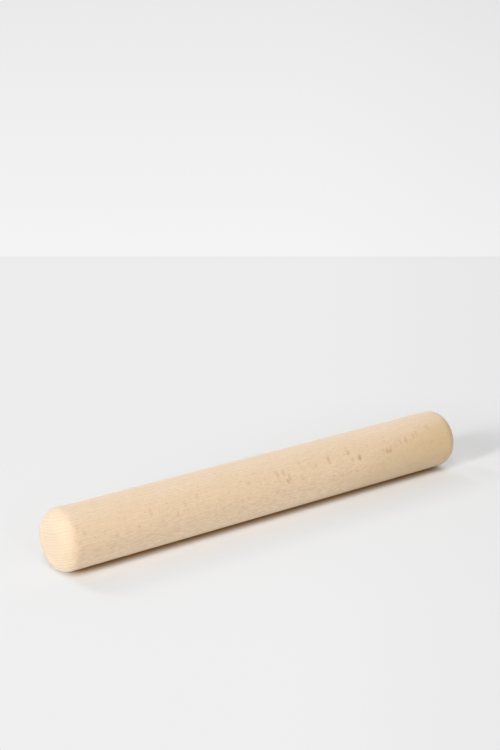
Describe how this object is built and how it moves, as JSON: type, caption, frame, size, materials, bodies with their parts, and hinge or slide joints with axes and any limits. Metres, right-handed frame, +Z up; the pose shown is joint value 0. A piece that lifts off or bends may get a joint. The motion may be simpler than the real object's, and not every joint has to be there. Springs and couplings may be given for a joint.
{
  "type": "french rolling pin",
  "caption": "Handle-less rolling pin turned from one straight length of beech, with a parallel barrel and rounded ends.",
  "frame": {"origin": "the point of the worktop under the middle of the pin, where the barrel touches it", "axes": "+X along the pin's turning axis, +Z up from the worktop it lies on, +Y across the pin"},
  "size_m": [0.4, 0.05, 0.05],
  "materials": {
    "beech": "fine-sanded bare beech, matt"
  },
  "bodies": {
    "root": {"rolling_pin": "beech"}
  },
  "joints": []
}
